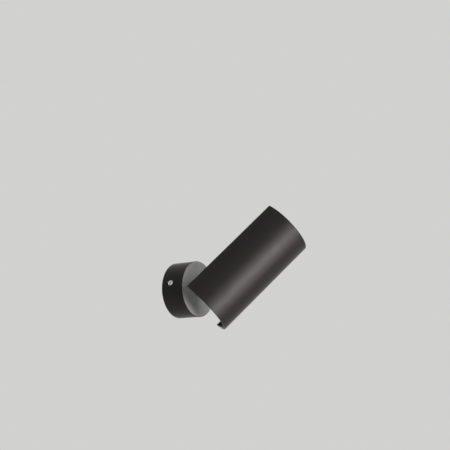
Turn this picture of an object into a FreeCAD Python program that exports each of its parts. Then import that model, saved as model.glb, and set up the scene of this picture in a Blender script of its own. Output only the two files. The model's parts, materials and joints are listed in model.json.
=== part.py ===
import FreeCAD, Part
import math
import os

"""A wall light: a round base, a swivel stem, a tilting knuckle and a half-tube shade over a spot lamp.

Millimetres. The wall is the plane Y = 0, the room is on the -Y side and +Z is up. The origin is the
centre of the base on the wall. Each sub-part is modelled in one of three simple local frames:
  base frame    z runs from the wall into the room, y is up;
  swivel frame  the base frame turned about z, so that x is the side the head leans to;
  head frame    origin on the tilt axis, z along the shade to its far end, y the tilt axis,
                x the open side of the half tube, so its crown is at -x.
"""

# The pose: where the head points.
HEAD_LEAN = 57.4             # degrees from straight out of the wall
HEAD_CLOCK = 65.2            # degrees from +X towards up, seen from the room
SWIVEL_MIDDLE = 90.0         # clock angle half way between the swivel's two limits

# Base: a black drum with a pale disc let into its mouth.
CUP_R = 30.0
CUP_WALL = 1.6
CUP_FRONT_T = 1.6
CUP_LIP = 0.4                # thin lip that the disc sits inside
CUP_LIP_DROP = 0.2           # lip below the face of the disc
BASE_H = 27.0                # wall to the face of the disc
DISC_T = 3.0
DISC_FIT = 0.05
DISC_EDGE = 0.35
EDGE = 0.3                   # broken edge on machined pieces
FACE_GAP = 0.05              # between flat faces that turn on each other

# Disc hub and the bush that the stem turns in.
STEM_R = 5.0                 # M10 x 1 tube
STEM_BORE_R = 3.6
RUNNING_FIT = 0.05           # radial
HUB_WALL = 2.5
HUB_L = 3.0                  # behind the disc
BUSH_WALL = 1.5
BUSH_FLANGE_T = 1.0
BUSH_FLANGE_W = 1.5          # how far the flange stands past the bush
DISC_FACE_T = 1.5            # metal left in front of the bush
FACE_HOLE_CLEAR = 0.3

# Stack on the stem, from the face of the disc outward and from the bush inward.
THRUST_T = 0.6
COLLAR_R = 6.0
COLLAR_L = 2.5
TAB_T = 1.0
TAB_R = 8.0
TAB_LUG_W = 3.0
TAB_LUG_OVER = 1.2           # lug past the stop pin's centre
STEM_FLAT = 4.2              # distance of the stem's flat from its axis
SPRING_T = 0.5
SPRING_H = 1.4
SPRING_R = 7.8
STEM_NUT_AF = 14.0
STEM_NUT_H = 3.5
STEM_NUT_COLLAR_R = 6.3
STEM_NUT_COLLAR_H = 1.5
STEM_TAIL = 1.1              # thread past the nut
STOP_PIN_R = 1.25
STOP_PIN_HUB_GAP = 0.75      # between the hub and the stop pin
STOP_PIN_REACH = 0.4         # pin past the tab washer

# Wall plate: a pressed disc with two bent lugs that the drum's side screws enter.
PLATE_T = 1.5
PLATE_R = 24.5
PLATE_BEND = 1.0             # inner radius of each bend
LUG_W = 12.0
LUG_GAP = 0.35               # between a lug's corner and the drum's wall
LUG_OVER_SCREW = 5.0
DISH_R = 8.4                 # raised flat round the cable hole
DISH_H = 2.0
DISH_SLOPE = 1.3
WALL_SCREW_SPACING = 36.0
WALL_SLOT_W = 4.4
WALL_SLOT_L = 9.0

# Cable grommet, in the wall plate's central hole.
GROMMET_BORE_R = 3.5
GROMMET_NECK_R = 5.5
GROMMET_FLANGE_R = 7.6
GROMMET_FLANGE_T = 1.4
GROMMET_FIT = 0.1
GROMMET_SOFT_SHARE = 0.4     # slope of each flange's edge, as a share of its thickness

# Side screws, M3 pan head.
SIDE_SCREW_H = 12.1          # height of their axis off the wall
M3_R = 1.5
M3_HEAD_R = 2.8
M3_HEAD_H = 1.9
M3_CLEAR = 0.2
M3_FIT = 0.03
SIDE_SCREW_TIP = 1.5         # thread past the lug
SEAT_DEPTH = 0.25            # flat spot-faced in the drum for each head
SEAT_CLEAR = 0.3
RECESS_R = 1.3
RECESS_DEPTH = 1.1
RECESS_ARM = 0.5
HEAD_CROWN_SHARE = 0.45      # rounded share of a pan head's height
RECESS_DEPTH_SHARE = 0.6     # most of a pan head's height that the recess may take
SCREW_TIP_SHARE = 0.3        # cone at a screw's end, as a share of its radius

# Screws that hold the disc from behind.
DISC_SCREW_CIRCLE_R = 19.0
DISC_SCREW_COUNT = 3
DISC_SCREW_CLOCK = 30.0
M25_R = 1.25
M25_HEAD_R = 2.3
M25_HEAD_H = 1.6
DISC_SCREW_BITE = 2.2

# Terminal block, two poles.
POLE_PITCH = 9.0
POLE_COUNT = 2
BLOCK_D = 12.0               # along the wires
BLOCK_H = 13.0
BLOCK_DISH_GAP = 0.3         # from the foot of the raised flat
BLOCK_RIB = 1.2
SLEEVE_R = 2.1
SLEEVE_BORE_R = 1.5
SLEEVE_H = 5.5               # height of the wire holes off the plate
SLEEVE_INSET = 1.0
GRUB_R = 1.4
GRUB_L = 3.2
GRUB_SPACING = 5.6
GRUB_SLOT_W = 0.5
GRUB_SLOT_DEPTH = 0.6
CHIMNEY_R = 1.9

# Earth points: a ring tag under an M3 screw.
TAG_T = 0.8
TAG_R = 3.2
TAG_BARREL_L = 4.5
TAG_BARREL_WALL = 0.35
BASE_EARTH_X = 9.0
BASE_EARTH_Y = -14.0

# Leads.
LEAD_COUNT = 3
LEAD_R = 0.9
LEAD_SPREAD = 1.15           # distance of each lead from the bundle's centre
SLEEVING_R = 3.4
SLEEVING_WALL = 0.4
SLEEVING_TAIL = 1.5
LEAD_IN_BLOCK = 3.5
BLOCK_LEAD_TURN = 2.25       # where a lead turns in front of its pole
BASE_EARTH_BEND = 0.55       # share of the way out to the tag where the lead turns
HEAD_EARTH_BEND = 0.53
LEAD_IN_STEM = 3.6           # how far the base's leads run into the stem
LEAD_JOIN_GAP = 0.5          # between the base's leads and the stem's
LEAD_BEND_GAP = 3.5          # either side of the tilt axis, where the leads bend
LEAD_SHARE = 0.45            # share of the shorter run that a bend takes
BASE_BUNDLE_CLOCK = 270.0    # where the earth lies in the bundle, in the base
HEAD_BUNDLE_CLOCK = 180.0    # and in the stem and the head

# Knuckle: the fork on the stem and the tongue on the head.
PIVOT_OUT = 30.8             # tilt axis in front of the disc
KNUCKLE_HALF_X = 7.0
KNUCKLE_HALF_Y = 8.0
EAR_T = 3.0
FORK_BELOW = 15.0            # foot of the fork below the tilt axis
FORK_EDGE = 0.8
BRIDGE_GAP = 0.8             # under the tongue's cheeks
STOP_GAP = 0.2               # between fork and tongue when the tilt meets a stop
CHEEK_T = 2.3
CHEEK_R = 6.6
FRICTION_T = 0.5
FRICTION_R = 6.0
TIP_R = 4.5                  # stem's end in the fork
TIP_SHORT = 0.6
GRUB_HEIGHT = 3.5            # fork grub screw above the fork's foot
GRUB_SINK = 0.3
ROOT_T = 2.3
PIVOT_SCREW_R = 2.0
PIVOT_HEAD_R = 3.5
PIVOT_HEAD_H = 2.2
PIVOT_WASHER_T = 0.8
PIVOT_WASHER_R = 3.8
PIVOT_SOCKET_AF = 2.5
PIVOT_SOCKET_DEPTH = 1.2

# Head brackets, bent steel strip.
STRIP_T = 1.5
STRIP_W = 18.0
STRIP_BEND = 1.0
STRIP_CORNER = 3.0
STRIP_SEAT = 0.05
TAB_ABOVE = 8.0              # rear tab past the head's axis
LEG_END = 56.0               # along the head, from the tilt axis
HEAD_NUT_AF = 14.0
HEAD_NUT_H = 3.0
HEAD_NUT_TAIL = 0.5
HOLDER_PLATE_BACK = 23.5
HOLDER_PLATE_T = 1.5
HOLDER_PLATE_FOOT = 13.0
HOLDER_PLATE_ABOVE = 9.0
HOLDER_PLATE_NECK = 10.0
LEAD_HOLE_R = 4.5
HEAD_EARTH_DROP = 17.0       # earth screw below the head's axis
HEAD_EARTH_LOOP = 12.5       # how far its lead loops out to one side
HEAD_EARTH_RISE = 2.8        # its lead's height over the end of the nipple
LEAD_CROSS_GAP = 0.8         # between leads that cross

# Shade: half a tube a little wider than the drum. Straight out, its near end just clears the disc.
NEST_GAP = 1.4               # shade's inside radius over the drum's
SHADE_WALL = 2.4
SHADE_L = 124.0
SHADE_BACK = 30.0            # near end behind the tilt axis
SHADE_EDGE = 0.4
STUD_PLACES = (15.5, 48.0)   # along the head
STUD_TAIL = 1.2
NUT_AF = 5.5
NUT_H = 2.4
WASHER_T = 0.5
WASHER_R = 3.2

# Lamp holder and lamp: a pair of twist-in pins 10 mm apart.
PIN_SPACING = 10.0
HOLDER_L = 28.0
HOLDER_W = 17.0
HOLDER_H = 13.5
HOLDER_EDGE = 1.0
HOLDER_FIX_SPACING = 21.0
SOCKET_R = 2.9
SOCKET_DEPTH = 9.0
SOCKET_TRACK_R = 1.4
SOCKET_TWIST = 40.0
LAMP_R = 25.0
LAMP_L = 50.0
LAMP_CROWN_GAP = 2.1         # rim to the inside of the shade
LAMP_RIM_L = 4.5
LAMP_RIM_STEP = 1.0
LAMP_NECK_R = 14.0
LAMP_NECK_L = 12.0
LAMP_FOOT_R = 11.5
LAMP_FOOT_L = 8.0
LAMP_FIN_COUNT = 18
LAMP_FIN_GROOVE = 1.0
LAMP_FIN_GAP_W = 2.4
LAMP_FIN_START = 0.08        # shares of the cone's slope
LAMP_FIN_END = 0.94
LENS_R = 22.8
LENS_T = 2.0
LENS_RECESS = 1.0
LENS_DIMPLE_COUNT = 12
LENS_RING_SHARES = (0.36, 0.72)  # dimple rings, as shares of the lens's radius
LENS_DIMPLE_R = 2.6
LENS_DIMPLE_DEPTH = 0.7
CAVITY_R = 21.2              # white cone behind the lens, at its mouth
CAVITY_FLOOR_R = 18.0
CAVITY_DEPTH = 7.0
LED_BOARD_T = 1.2
LED_SIDE = 3.5
LED_T = 0.7
CONTACT_T = 0.4
CONTACT_W = 3.0
CONTACT_L = 4.4
PIN_R = 1.5
PIN_HEAD_R = 2.45
PIN_HEAD_L = 2.4
PIN_L = 7.0

V = FreeCAD.Vector
ORIGIN = V(0, 0, 0)
AXIS_X = V(1, 0, 0)
AXIS_Y = V(0, 1, 0)
AXIS_Z = V(0, 0, 1)
PAST = 1.0                   # how far a cutting solid runs past what it cuts

# Heights off the wall that more than one piece uses.
disc_back = BASE_H - DISC_T
front_wall_back = disc_back - CUP_FRONT_T
hub_r = STEM_R + RUNNING_FIT + BUSH_WALL + HUB_WALL
hub_back = disc_back - HUB_L
bush_r = STEM_R + RUNNING_FIT + BUSH_WALL
bush_back = hub_back - BUSH_FLANGE_T
tab_front = bush_back - FACE_GAP
tab_back = tab_front - TAB_T
spring_back = tab_back - SPRING_H
stem_nut_back = spring_back - STEM_NUT_H - STEM_NUT_COLLAR_H
stem_back = stem_nut_back - STEM_TAIL
base_lead_top = stem_back + LEAD_IN_STEM
collar_back = BASE_H + FACE_GAP + THRUST_T
collar_front = collar_back + COLLAR_L
pivot_height = BASE_H + PIVOT_OUT
fork_foot = pivot_height - FORK_BELOW
bridge_top = pivot_height - CHEEK_R - BRIDGE_GAP
stop_pin_place = hub_r + STOP_PIN_HUB_GAP + STOP_PIN_R

cup_inner_r = CUP_R - CUP_WALL
lug_outer_x = math.sqrt((cup_inner_r - LUG_GAP) ** 2 - (LUG_W / 2) ** 2)
block_bottom = PLATE_T
block_near = DISH_R + DISH_SLOPE + PLATE_T / 2 + BLOCK_DISH_GAP
block_far = block_near + BLOCK_D
wire_height = block_bottom + SLEEVE_H

# Places along the head, from the tilt axis.
root_back = KNUCKLE_HALF_X + STOP_GAP
root_front = root_back + ROOT_T
cheek_inner = KNUCKLE_HALF_Y - EAR_T - FACE_GAP - FRICTION_T - CHEEK_T
nipple_end = root_front + STRIP_T + HEAD_NUT_H + HEAD_NUT_TAIL
earth_over = nipple_end + HEAD_EARTH_RISE
shade_inner_r = CUP_R + NEST_GAP
shade_r = shade_inner_r + SHADE_WALL
shade_front = SHADE_L - SHADE_BACK
leg_outer = math.sqrt(shade_inner_r ** 2 - (STRIP_W / 2) ** 2) - STRIP_SEAT
leg_inner = leg_outer - STRIP_T
lamp_axis_x = -(shade_inner_r - LAMP_R - LAMP_CROWN_GAP)
holder_back = HOLDER_PLATE_BACK + HOLDER_PLATE_T
holder_front = holder_back + HOLDER_H
foot_screw_place = holder_back + HOLDER_PLATE_FOOT - 2 * M3_HEAD_R
lamp_front = holder_front + LAMP_L
lens_seat = lamp_front - LENS_RECESS - LENS_T
led_board_back = lens_seat - CAVITY_DEPTH


# ---- placing -------------------------------------------------------------------------------------

def in_base(shape):
    """From the base frame to the finished frame."""
    return shape.rotated(ORIGIN, AXIS_X, 90)


def in_swivel(shape):
    return in_base(shape.rotated(ORIGIN, AXIS_Z, HEAD_CLOCK))


def in_head(shape):
    leaning = shape.rotated(ORIGIN, AXIS_Y, HEAD_LEAN)
    return in_swivel(leaning.translated(AXIS_Z * pivot_height))


# ---- simple solids -------------------------------------------------------------------------------

def turned(outline):
    """A closed outline of (radius, z) points turned round the z axis."""
    points = [V(radius, 0, z) for radius, z in outline]
    face = Part.Face(Part.makePolygon(points + points[:1]))
    return face.revolve(ORIGIN, AXIS_Z, 360)


def rod(radius, low, high, x=0.0, y=0.0):
    return Part.makeCylinder(radius, high - low, V(x, y, low))


def ring(inner, outer, low, high, x=0.0, y=0.0):
    hole = rod(inner, low - PAST, high + PAST, x, y)
    return rod(outer, low, high, x, y).cut(hole)


def block(x0, x1, y0, y1, z0, z1):
    return Part.makeBox(x1 - x0, y1 - y0, z1 - z0, V(x0, y0, z0))


def hexagon(across_flats, low, high, x=0.0, y=0.0):
    corner_r = across_flats / math.sqrt(3)
    corners = []
    for step in range(6):
        angle = math.radians(60 * step)
        corners.append(V(x + corner_r * math.cos(angle), y + corner_r * math.sin(angle), low))
    face = Part.Face(Part.makePolygon(corners + corners[:1]))
    return face.extrude(AXIS_Z * (high - low))


def extruded(points, direction):
    return Part.Face(Part.makePolygon(points + points[:1])).extrude(direction)


def edges_near(shape, places, reach=0.05):
    """The edges whose middle lies on one of the places."""
    found = []
    for edge in shape.Edges:
        middle = edge.valueAt((edge.FirstParameter + edge.LastParameter) / 2)
        if any((middle - place).Length < reach for place in places):
            found.append(edge)
    return found


def parallel_edges(shape, axis):
    """The straight edges of a shape that run along an axis."""
    found = []
    for edge in shape.Edges:
        if isinstance(edge.Curve, Part.Line) and abs(edge.Curve.Direction.dot(axis)) > 0.9999:
            found.append(edge)
    return found


def hex_nut(across_flats, thread_r, low, height, x=0.0, y=0.0):
    """A nut with its corners turned down on both faces."""
    corner_r = across_flats / math.sqrt(3)
    drop = (corner_r - across_flats / 2) * math.tan(math.radians(30))
    turned_down = turned([
        (0, 0), (across_flats / 2, 0), (corner_r, drop),
        (corner_r, height - drop), (across_flats / 2, height), (0, height),
    ])
    nut = hexagon(across_flats, 0, height).common(turned_down)
    nut = nut.cut(rod(thread_r, -PAST, height + PAST))
    return nut.translated(V(x, y, low))


def pan_screw(radius, head_r, head_h, length):
    """A cross-recess pan screw along -z, the underside of its head at z = 0."""
    crown = head_h * HEAD_CROWN_SHARE
    middle = math.radians(45)
    head_face = [
        Part.LineSegment(V(0, 0, 0), V(head_r, 0, 0)),
        Part.LineSegment(V(head_r, 0, 0), V(head_r, 0, head_h - crown)),
        Part.Arc(
            V(head_r, 0, head_h - crown),
            V(head_r - crown * (1 - math.cos(middle)), 0, head_h - crown + crown * math.sin(middle)),
            V(head_r - crown, 0, head_h),
        ),
        Part.LineSegment(V(head_r - crown, 0, head_h), V(0, 0, head_h)),
        Part.LineSegment(V(0, 0, head_h), V(0, 0, 0)),
    ]
    outline = Part.Wire([piece.toShape() for piece in head_face])
    head = Part.Face(outline).revolve(ORIGIN, AXIS_Z, 360)
    deep = min(RECESS_DEPTH, head_h * RECESS_DEPTH_SHARE)
    long = min(RECESS_R, head_r / 2)
    for turn in (0, 90):
        arm = block(-long, long, -RECESS_ARM / 2, RECESS_ARM / 2, head_h - deep, head_h + PAST)
        head = head.cut(arm.rotated(ORIGIN, AXIS_Z, turn))
    tip = radius * SCREW_TIP_SHARE
    shank = turned([(0, 0), (radius, 0), (radius, tip - length), (radius - tip, -length), (0, -length)])
    return head.fuse(shank).removeSplitter()


def grub_screw(radius, length):
    """A slotted grub screw along -z, its slotted end at z = 0."""
    slot = block(-radius - PAST, radius + PAST, -GRUB_SLOT_W / 2, GRUB_SLOT_W / 2, -GRUB_SLOT_DEPTH, PAST)
    return rod(radius, -length, 0).cut(slot)


def ring_tag(screw_r):
    """A crimped ring tag lying on z = 0, its barrel along +x."""
    barrel_r = LEAD_R + TAG_BARREL_WALL
    tongue = block(0, TAG_R + TAG_BARREL_L, -barrel_r, barrel_r, 0, TAG_T)
    eye = rod(TAG_R, 0, TAG_T).fuse(tongue).cut(rod(screw_r + M3_CLEAR, -PAST, TAG_T + PAST))
    start = TAG_R + TAG_BARREL_WALL
    barrel = ring(LEAD_R, barrel_r, start, TAG_R + TAG_BARREL_L)
    barrel = barrel.rotated(ORIGIN, AXIS_Y, 90).translated(AXIS_Z * barrel_r)
    bore = rod(LEAD_R, start, TAG_R + TAG_BARREL_L + PAST)
    bore = bore.rotated(ORIGIN, AXIS_Y, 90).translated(AXIS_Z * barrel_r)
    return eye.fuse(barrel).cut(bore).removeSplitter()


def lead(points, label):
    """An insulated lead: straight runs joined by tangent arcs, swept with a round section."""
    pieces = []
    start = points[0]
    radii = []
    for before, corner, after in zip(points, points[1:], points[2:]):
        arriving = corner - before
        leaving = after - corner
        taken = LEAD_SHARE * min(arriving.Length, leaving.Length)
        arriving.normalize()
        leaving.normalize()
        half_turn = math.acos(max(-1.0, min(1.0, arriving.dot(leaving)))) / 2
        bend = taken / math.tan(half_turn)
        inward = leaving - arriving
        inward.normalize()
        middle = corner + inward * (bend * (1 / math.cos(half_turn) - 1))
        into = corner - arriving * taken
        out = corner + leaving * taken
        pieces.append(Part.LineSegment(start, into).toShape())
        pieces.append(Part.Arc(into, middle, out).toShape())
        radii.append(round(bend, 2))
        start = out
    pieces.append(Part.LineSegment(start, points[-1]).toShape())
    route = Part.Wire(pieces)
    section = Part.Wire(Part.makeCircle(LEAD_R, points[0], points[1] - points[0]))
    solid = route.makePipeShell([section], True, False)
    due = route.Length * math.pi * LEAD_R ** 2
    print(label, "bend radii", radii, "volume over section times length", round(solid.Volume / due, 4))
    return solid


# ---- base ----------------------------------------------------------------------------------------

def base_cup():
    """Drum: side wall, front wall and a thin lip round the disc."""
    lip_inner = CUP_R - CUP_LIP
    lip_top = BASE_H - CUP_LIP_DROP
    cup = turned([
        (hub_r + DISC_FIT, front_wall_back), (cup_inner_r, front_wall_back), (cup_inner_r, EDGE),
        (cup_inner_r + EDGE, 0), (CUP_R - EDGE, 0), (CUP_R, EDGE), (CUP_R, lip_top - EDGE / 2),
        (CUP_R - EDGE / 2, lip_top), (lip_inner, lip_top), (lip_inner, disc_back),
        (hub_r + DISC_FIT, disc_back),
    ])
    for side in (0, 180):
        hole = rod(M3_R + M3_CLEAR, cup_inner_r - PAST * 2, CUP_R + PAST)
        seat = rod(M3_HEAD_R + SEAT_CLEAR, CUP_R - SEAT_DEPTH, CUP_R + PAST)
        cup = cup.cut(side_on(hole.fuse(seat), side))
    for place in disc_screw_places():
        cup = cup.cut(rod(M25_R + M3_CLEAR, front_wall_back - PAST, disc_back + PAST, place.x, place.y))
    return cup.cut(stop_pin_rod(front_wall_back - PAST, disc_back + PAST))


def side_on(shape, clock):
    """Turns a solid made along z so that it points out of the drum's side at the side screws' height."""
    outward = shape.rotated(ORIGIN, AXIS_Y, 90).translated(AXIS_Z * SIDE_SCREW_H)
    return outward.rotated(ORIGIN, AXIS_Z, clock)


def disc_screw_places():
    places = []
    for number in range(DISC_SCREW_COUNT):
        angle = math.radians(DISC_SCREW_CLOCK + number * 360 / DISC_SCREW_COUNT)
        places.append(V(DISC_SCREW_CIRCLE_R * math.cos(angle), DISC_SCREW_CIRCLE_R * math.sin(angle), 0))
    return places


def front_disc():
    """Pale disc with a hub behind it that centres it in the drum and holds the bush."""
    outer = CUP_R - CUP_LIP - DISC_FIT
    face_hole = STEM_R + FACE_HOLE_CLEAR
    bush_seat = BASE_H - DISC_FACE_T
    disc = turned([
        (face_hole, BASE_H), (outer - DISC_EDGE, BASE_H), (outer, BASE_H - DISC_EDGE),
        (outer, disc_back), (hub_r, disc_back), (hub_r, hub_back), (bush_r, hub_back),
        (bush_r, bush_seat), (face_hole, bush_seat),
    ])
    for place in disc_screw_places():
        disc = disc.cut(rod(M25_R, disc_back - PAST, disc_back + DISC_SCREW_BITE, place.x, place.y))
    return disc


def swivel_bush():
    bore = STEM_R + RUNNING_FIT
    bush_seat = BASE_H - DISC_FACE_T
    flange_r = bush_r + BUSH_FLANGE_W
    return turned([
        (bore, bush_back), (flange_r, bush_back), (flange_r, hub_back), (bush_r, hub_back),
        (bush_r, bush_seat), (bore, bush_seat),
    ])


def stop_pin_rod(low, high):
    """A rod where the stop pin stands, across from the middle of the swivel's travel."""
    clock = math.radians(SWIVEL_MIDDLE + 180)
    return rod(STOP_PIN_R, low, high, stop_pin_place * math.cos(clock), stop_pin_place * math.sin(clock))


def swivel_stop_pin():
    return stop_pin_rod(tab_back - STOP_PIN_REACH, disc_back)


def disc_screws():
    length = CUP_FRONT_T + DISC_SCREW_BITE - EDGE
    screws = []
    for place in disc_screw_places():
        screw = pan_screw(M25_R - M3_FIT, M25_HEAD_R, M25_HEAD_H, length)
        screw = screw.rotated(ORIGIN, AXIS_X, 180)
        screws.append(screw.translated(V(place.x, place.y, front_wall_back)))
    return Part.makeCompound(screws)


def side_screws():
    seat = CUP_R - SEAT_DEPTH
    length = seat - (lug_outer_x - PLATE_T) + SIDE_SCREW_TIP
    screw = pan_screw(M3_R - M3_FIT, M3_HEAD_R, M3_HEAD_H, length).translated(AXIS_Z * seat)
    return Part.makeCompound([side_on(screw, 0), side_on(screw, 180)])


def bent_lug():
    """One lug: a strip that runs out along the wall and bends up beside the drum's wall."""
    top = SIDE_SCREW_H + LUG_OVER_SCREW
    inner_x = lug_outer_x - PLATE_T
    half = LUG_W / 2
    outline = [
        V(0, -half, 0), V(lug_outer_x, -half, 0), V(lug_outer_x, -half, top), V(inner_x, -half, top),
        V(inner_x, -half, PLATE_T), V(0, -half, PLATE_T),
    ]
    lug = extruded(outline, AXIS_Y * LUG_W)
    lug = lug.makeFillet(PLATE_BEND, edges_near(lug, [V(inner_x, 0, PLATE_T)]))
    lug = lug.makeFillet(PLATE_BEND + PLATE_T, edges_near(lug, [V(lug_outer_x, 0, 0)]))
    corners = [V(lug_outer_x - PLATE_T / 2, side * half, top) for side in (-1, 1)]
    return lug.makeFillet(STRIP_CORNER, edges_near(lug, corners))


def wall_plate():
    """Pressed steel plate: raised round the cable hole, slotted for the wall screws."""
    dish_foot = DISH_R + DISH_SLOPE
    hole_r = GROMMET_NECK_R
    plate = turned([
        (hole_r, DISH_H), (DISH_R, DISH_H), (dish_foot, 0), (PLATE_R, 0), (PLATE_R, PLATE_T),
        (dish_foot + PLATE_T / 2, PLATE_T), (DISH_R + PLATE_T / 2, DISH_H + PLATE_T),
        (hole_r, DISH_H + PLATE_T),
    ])
    clear_of_dish = rod(dish_foot + PLATE_T / 2, -PAST, SIDE_SCREW_H)
    for side in (0, 180):
        lug = bent_lug().cut(clear_of_dish)
        plate = plate.fuse(lug.rotated(ORIGIN, AXIS_Z, side))
    plate = plate.removeSplitter()
    for side in (-1, 1):
        plate = plate.cut(slot(side * WALL_SCREW_SPACING / 2))
        thread = rod(M3_R, lug_outer_x - PLATE_T - PAST, lug_outer_x + PAST)
        plate = plate.cut(side_on(thread, 90 - 90 * side))
    for place in block_fixing_places():
        plate = plate.cut(rod(M25_R, -PAST, PLATE_T + PAST, place.x, place.y))
    return plate.cut(rod(M3_R, -PAST, PLATE_T + PAST, BASE_EARTH_X, BASE_EARTH_Y))


def slot(x):
    """A wall-screw slot along x."""
    half_w = WALL_SLOT_W / 2
    half_run = WALL_SLOT_L / 2 - half_w
    cutter = block(x - half_run, x + half_run, -half_w, half_w, -PAST, PLATE_T + PAST)
    for end in (-half_run, half_run):
        cutter = cutter.fuse(rod(half_w, -PAST, PLATE_T + PAST, x + end, 0))
    return cutter


def cable_grommet():
    low = DISH_H - GROMMET_FLANGE_T
    high = DISH_H + PLATE_T + GROMMET_FLANGE_T
    neck = GROMMET_NECK_R - GROMMET_FIT
    soft = GROMMET_FLANGE_T * GROMMET_SOFT_SHARE
    return turned([
        (GROMMET_BORE_R, low), (GROMMET_FLANGE_R - soft, low), (GROMMET_FLANGE_R, DISH_H),
        (neck, DISH_H), (neck, DISH_H + PLATE_T), (GROMMET_FLANGE_R, DISH_H + PLATE_T),
        (GROMMET_FLANGE_R - soft, high), (GROMMET_BORE_R, high),
    ])


def pole_places():
    first = -POLE_PITCH * (POLE_COUNT - 1) / 2
    return [first + POLE_PITCH * number for number in range(POLE_COUNT)]


def block_fixing_places():
    middle = (block_near + block_far) / 2
    first = -POLE_PITCH * (POLE_COUNT - 2) / 2
    return [V(first + POLE_PITCH * number, middle, 0) for number in range(POLE_COUNT - 1)]


def grub_places():
    middle = (block_near + block_far) / 2
    return [V(x, middle + side * GRUB_SPACING / 2, 0) for x in pole_places() for side in (-1, 1)]


def terminal_block():
    """Moulded block: a wall between poles lower than the poles, wire holes and screw chimneys."""
    half = POLE_PITCH * POLE_COUNT / 2
    top = block_bottom + BLOCK_H
    body = block(-half, half, block_near, block_far, block_bottom, top)
    for place in block_fixing_places():
        groove_low = top - BLOCK_H / 2
        groove = block(
            place.x - BLOCK_RIB, place.x + BLOCK_RIB, block_near - PAST, block_far + PAST,
            groove_low, top + PAST,
        )
        body = body.cut(groove)
        body = body.cut(rod(M25_R + M3_CLEAR, block_bottom - PAST, top, place.x, place.y))
        head_room = rod(M25_HEAD_R + M3_CLEAR, groove_low - M25_HEAD_H, top + PAST, place.x, place.y)
        body = body.cut(head_room)
    for x in pole_places():
        wire_hole = rod(SLEEVE_R, block_near - PAST, block_far + PAST)
        wire_hole = wire_hole.rotated(ORIGIN, AXIS_X, -90).translated(V(x, 0, wire_height))
        body = body.cut(wire_hole)
    for place in grub_places():
        body = body.cut(rod(CHIMNEY_R, wire_height, top + PAST, place.x, place.y))
    return body


def terminal_sleeves():
    """Brass sleeves inside the block, one to a pole, each with two tapped holes."""
    sleeves = []
    low = block_near + SLEEVE_INSET
    high = block_far - SLEEVE_INSET
    for x in pole_places():
        sleeve = ring(SLEEVE_BORE_R, SLEEVE_R, low, high)
        sleeve = sleeve.rotated(ORIGIN, AXIS_X, -90).translated(V(x, 0, wire_height))
        for place in grub_places():
            sleeve = sleeve.cut(rod(GRUB_R, wire_height, wire_height + BLOCK_H, place.x, place.y))
        sleeves.append(sleeve)
    return Part.makeCompound(sleeves)


def terminal_screws():
    top = wire_height + SLEEVE_BORE_R + GRUB_L
    screws = [grub_screw(GRUB_R, GRUB_L).translated(V(p.x, p.y, top)) for p in grub_places()]
    return Part.makeCompound(screws)


def block_screws():
    under_head = block_bottom + BLOCK_H / 2 - M25_HEAD_H
    screws = []
    for place in block_fixing_places():
        screw = pan_screw(M25_R - M3_FIT, M25_HEAD_R, M25_HEAD_H, under_head - EDGE)
        screws.append(screw.translated(V(place.x, place.y, under_head)))
    return Part.makeCompound(screws)


def base_earth_tag():
    tag = ring_tag(M3_R).rotated(ORIGIN, AXIS_Z, 180)
    return tag.translated(V(BASE_EARTH_X, BASE_EARTH_Y, PLATE_T))


def base_earth_screw():
    screw = pan_screw(M3_R - M3_FIT, M3_HEAD_R, M3_HEAD_H, TAG_T + PLATE_T - EDGE)
    return screw.translated(V(BASE_EARTH_X, BASE_EARTH_Y, PLATE_T + TAG_T))


def bundle_place(number, first):
    """Where a lead lies in the bundle: 0 earth, 1 live, 2 neutral, the earth at the angle called first."""
    angle = math.radians(first - 120 * number)
    return V(LEAD_SPREAD * math.cos(angle), LEAD_SPREAD * math.sin(angle), 0)


def base_lead(number, pole, label):
    """From inside the stem back towards the wall and up into one pole of the block."""
    x = pole_places()[pole]
    start = bundle_place(number, BASE_BUNDLE_CLOCK) + AXIS_Z * base_lead_top
    turn = V(start.x, start.y, wire_height)
    side = V(x, block_near - BLOCK_LEAD_TURN, wire_height)
    inside = V(x, block_near + LEAD_IN_BLOCK, wire_height)
    return lead([start, turn, side, inside], label)


def base_earth_lead():
    """From inside the stem round into the tag's barrel on the plate."""
    barrel_height = PLATE_T + LEAD_R + TAG_BARREL_WALL
    start = bundle_place(0, BASE_BUNDLE_CLOCK) + AXIS_Z * base_lead_top
    points = [
        start,
        V(start.x, start.y, wire_height),
        V(-BASE_EARTH_X / 2, BASE_EARTH_Y * BASE_EARTH_BEND, wire_height),
        V(-BASE_EARTH_X / 2, BASE_EARTH_Y, barrel_height),
        V(BASE_EARTH_X - TAG_R - TAG_BARREL_WALL, BASE_EARTH_Y, barrel_height),
    ]
    return lead(points, "base_earth_lead")


# ---- swivel --------------------------------------------------------------------------------------

def swivel_stem():
    """Hollow turned stem: thread and flat behind the collar, a reduced tip for the fork."""
    tip_top = bridge_top - TIP_SHORT
    stem = turned([
        (STEM_BORE_R, stem_back), (STEM_R - EDGE, stem_back), (STEM_R, stem_back + EDGE),
        (STEM_R, collar_back), (COLLAR_R - EDGE / 2, collar_back), (COLLAR_R, collar_back + EDGE / 2),
        (COLLAR_R, collar_front - EDGE * 2), (COLLAR_R - EDGE * 2, collar_front),
        (STEM_R, collar_front), (STEM_R, fork_foot), (TIP_R, fork_foot), (TIP_R, tip_top),
        (STEM_BORE_R, tip_top),
    ])
    flat = block(STEM_FLAT, COLLAR_R + PAST, -COLLAR_R, COLLAR_R, stem_back - PAST, bush_back)
    return stem.cut(flat)


def thrust_washer():
    return ring(STEM_R + RUNNING_FIT, COLLAR_R, BASE_H + FACE_GAP, collar_back)


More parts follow.
